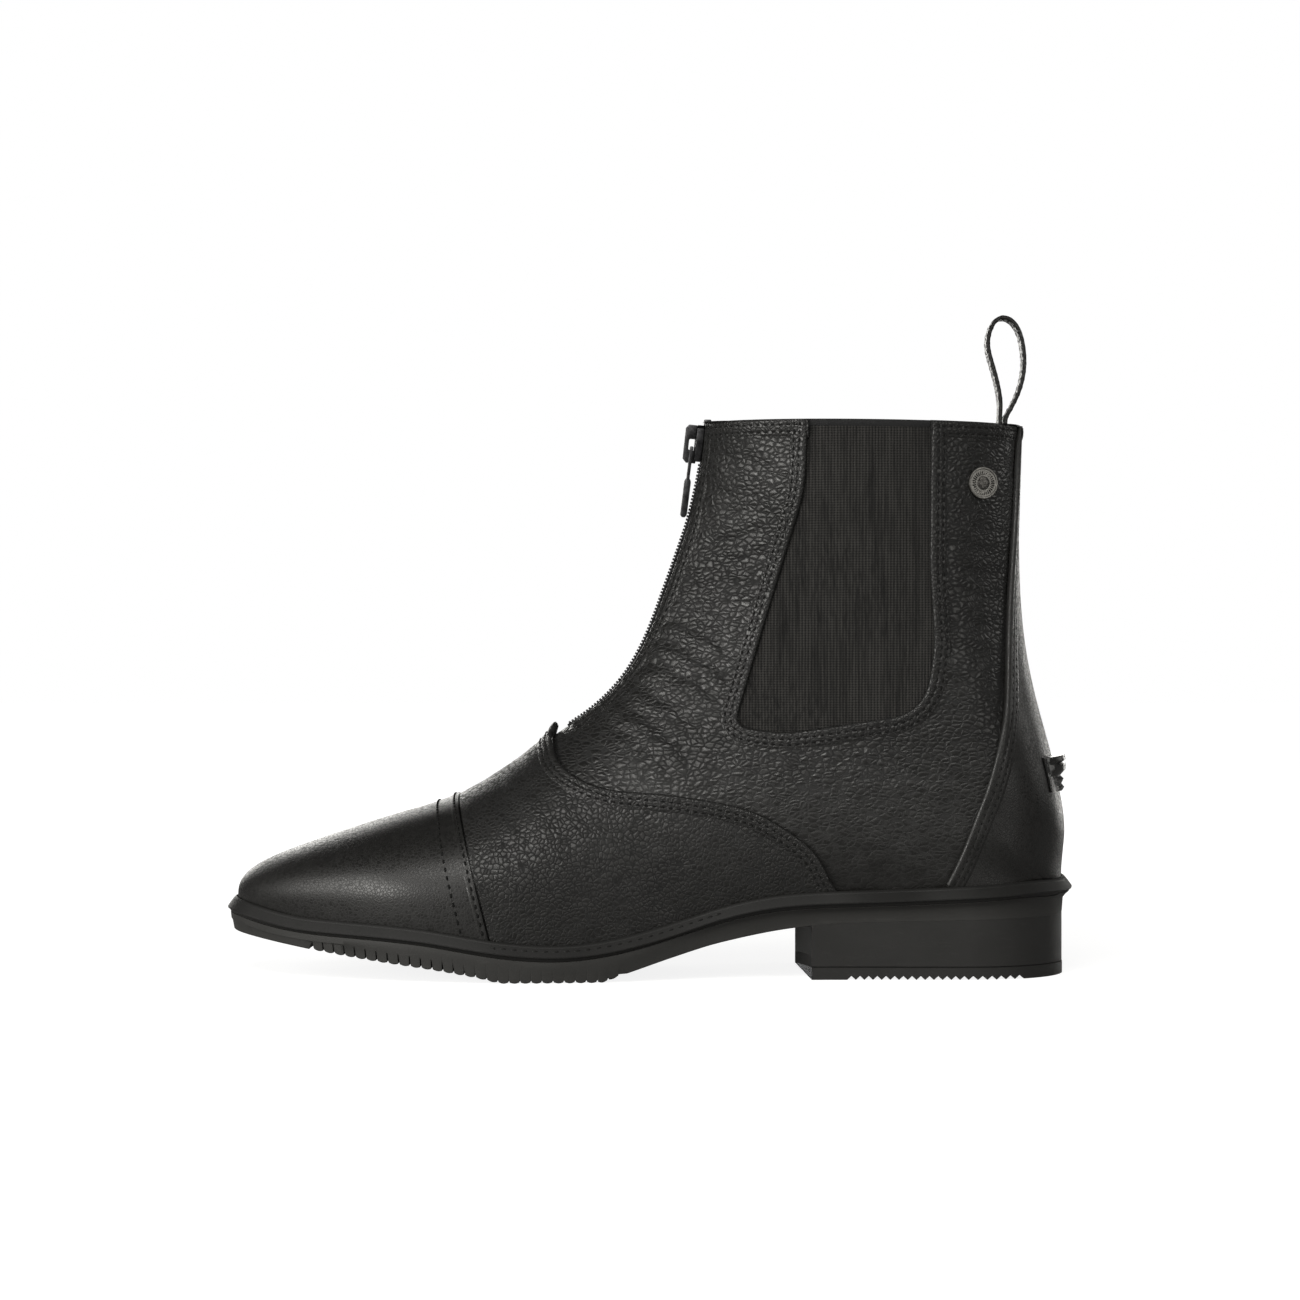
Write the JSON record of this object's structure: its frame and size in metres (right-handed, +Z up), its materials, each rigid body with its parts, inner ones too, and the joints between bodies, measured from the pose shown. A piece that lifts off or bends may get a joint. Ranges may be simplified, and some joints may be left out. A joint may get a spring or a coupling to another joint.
{
  "type": "front-zip riding boot",
  "caption": "Ankle-high riding boot, left: leather upper with capped toe, front zip, elastic side gores and pull loop, on a rubber sole with low heel.",
  "frame": {"origin": "on the floor, under the middle of the boot", "axes": "+X from toe to heel, +Y to the inner side of the foot, +Z up from the floor"},
  "size_m": [0.2908, 0.1, 0.2253],
  "materials": {
    "leather": "black grained leather, soft sheen",
    "smooth_leather": "black smooth leather, satin",
    "elastic": "black ribbed elastic, matte",
    "insole_leather": "dark footbed, matte",
    "rubber": "black moulded rubber, matte",
    "zip_tape_weave": "black woven tape, matte",
    "black_nickel": "black nickel, satin",
    "aged_silver_metal": "aged silver metal, satin"
  },
  "bodies": {
    "boot": {"upper": "leather", "vamp": "leather", "toe_cap": "smooth_leather", "back_strap": "smooth_leather", "pull_loop": "leather", "gore_lateral": "elastic", "gore_medial": "elastic", "insole": "insole_leather", "outsole": "rubber", "heel_block": "rubber", "heel_top_piece": "rubber", "welt": "rubber", "spur_rest": "rubber", "zip_tape": "zip_tape_weave", "zip_chain": "black_nickel", "zip_slider": "black_nickel", "button": "aged_silver_metal"},
    "zip_pull": {"zip_pull_tab": "black_nickel"}
  },
  "joints": [
    {"name": "zip_pull_hinge", "type": "hinge", "parent": "boot", "child": "zip_pull", "pos_m": [0.0143, 0, 0.1798], "axis": [0, 1, 0], "range_deg": [0, 160]}
  ]
}
